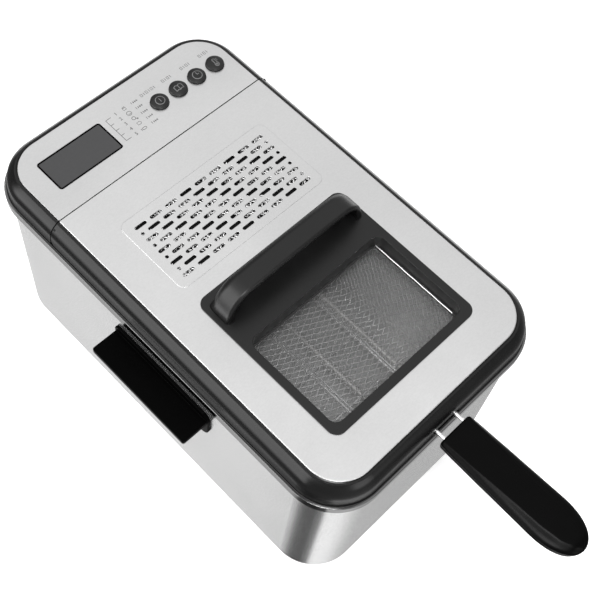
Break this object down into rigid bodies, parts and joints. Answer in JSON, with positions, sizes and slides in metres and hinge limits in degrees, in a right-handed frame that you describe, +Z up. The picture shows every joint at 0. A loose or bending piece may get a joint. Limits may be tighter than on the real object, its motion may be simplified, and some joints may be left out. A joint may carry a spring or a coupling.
{
  "type": "deep fryer",
  "caption": "Brushed steel deep fryer with lift-off windowed lid, wire basket with long handle, lift-out oil tank and a push-button control head with immersed heating element.",
  "frame": {"origin": "on the ground, at the centre of the whole object's footprint including grip and side handles", "axes": "+Z up, -Y towards the basket's grip (the user's side), +Y towards the control head, +X to the user's right"},
  "size_m": [0.2692, 0.499, 0.2085],
  "materials": {
    "wall_steel": "fine vertical brushing",
    "panel_steel": "very fine satin brushing",
    "collar_steel": "polished bright",
    "tank_steel": "satin, wiped",
    "element_steel": "heat tinted",
    "filter_steel": "open mesh",
    "screw_steel": "zinc plated",
    "wire_chrome": "bright plated wire",
    "mesh_steel": "woven plated wire",
    "rim_plastic": "semi gloss, fine spark texture",
    "frame_plastic": "satin, fine grain",
    "black_plastic": "matt, fine grain",
    "grip_plastic": "satin, fine grain",
    "button_plastic": "semi gloss",
    "inner_plastic": "matt moulded",
    "module_plastic": "matt",
    "component_plastic": "matt",
    "board_resin": "green solder mask",
    "mat_silicone": "soft silicone",
    "foot_rubber": "matt",
    "display_glass": "smoked, smooth",
    "window_glass": "clear tempered"
  },
  "bodies": {
    "base": {"housing_shell": "wall_steel", "top_collar": "collar_steel", "base_plate": "inner_plastic", "rubber_feet": "foot_rubber", "base_screws": "screw_steel", "side_handle_left": "black_plastic", "side_handle_right": "black_plastic", "side_handle_screws": "screw_steel", "head_dock": "inner_plastic"},
    "tank": {"oil_tank": "tank_steel"},
    "head": {"head_cover": "rim_plastic", "head_panel": "panel_steel", "head_tray": "inner_plastic", "display_bezel": "black_plastic", "display_lens": "display_glass", "display_module": "module_plastic", "button_mat": "mat_silicone", "control_board": "board_resin", "board_parts": "component_plastic", "tact_switches": "component_plastic", "power_board": "board_resin", "safety_switch": "component_plastic", "element_bracket": "tank_steel", "heating_element": "element_steel", "element_clips": "tank_steel", "thermostat_bulbs": "element_steel", "head_screws": "screw_steel", "cord_gland": "black_plastic"},
    "key_power": {"button_power": "button_plastic"},
    "key_mode": {"button_mode": "button_plastic"},
    "key_time": {"button_time": "button_plastic"},
    "key_temp": {"button_temp": "button_plastic"},
    "lid": {"lid_rim": "rim_plastic", "lid_panel": "panel_steel", "window_frame": "frame_plastic", "lid_handle": "frame_plastic", "handle_screws": "screw_steel", "window_glass": "window_glass", "window_gasket": "mat_silicone", "filter_tray": "inner_plastic", "filter_mesh": "filter_steel", "lid_liner": "tank_steel", "lid_seal": "mat_silicone", "lid_screws": "screw_steel"},
    "basket": {"basket_frame": "wire_chrome", "basket_mesh": "mesh_steel", "handle_bracket": "wire_chrome", "handle_wires": "wire_chrome", "drain_hooks": "wire_chrome", "grip_upper": "grip_plastic", "grip_lower": "grip_plastic", "grip_screws": "screw_steel"}
  },
  "joints": [
    {"name": "lid_lift", "type": "slide", "parent": "base", "child": "lid", "axis": [0, 0, 1], "range_m": [0, 0.6]},
    {"name": "basket_lift", "type": "slide", "parent": "base", "child": "basket", "axis": [0, 0, 1], "range_m": [0, 0.42]},
    {"name": "head_lift", "type": "slide", "parent": "base", "child": "head", "axis": [0, 0, 1], "range_m": [0, 0.25]},
    {"name": "tank_lift", "type": "slide", "parent": "base", "child": "tank", "axis": [0, 0, 1], "range_m": [0, 0.12]},
    {"name": "press_power", "type": "slide", "parent": "head", "child": "key_power", "axis": [0, 0, -1], "range_m": [0, 0.0008], "stiffness_N_per_m": 400},
    {"name": "press_mode", "type": "slide", "parent": "head", "child": "key_mode", "axis": [0, 0, -1], "range_m": [0, 0.0008], "stiffness_N_per_m": 400},
    {"name": "press_time", "type": "slide", "parent": "head", "child": "key_time", "axis": [0, 0, -1], "range_m": [0, 0.0008], "stiffness_N_per_m": 400},
    {"name": "press_temp", "type": "slide", "parent": "head", "child": "key_temp", "axis": [0, 0, -1], "range_m": [0, 0.0008], "stiffness_N_per_m": 400}
  ],
  "couplings": [
    {"joint": "basket_lift", "follows": "lid_lift", "ratio": 0.7},
    {"joint": "head_lift", "follows": "lid_lift", "ratio": 0.4166},
    {"joint": "tank_lift", "follows": "lid_lift", "ratio": 0.2}
  ]
}
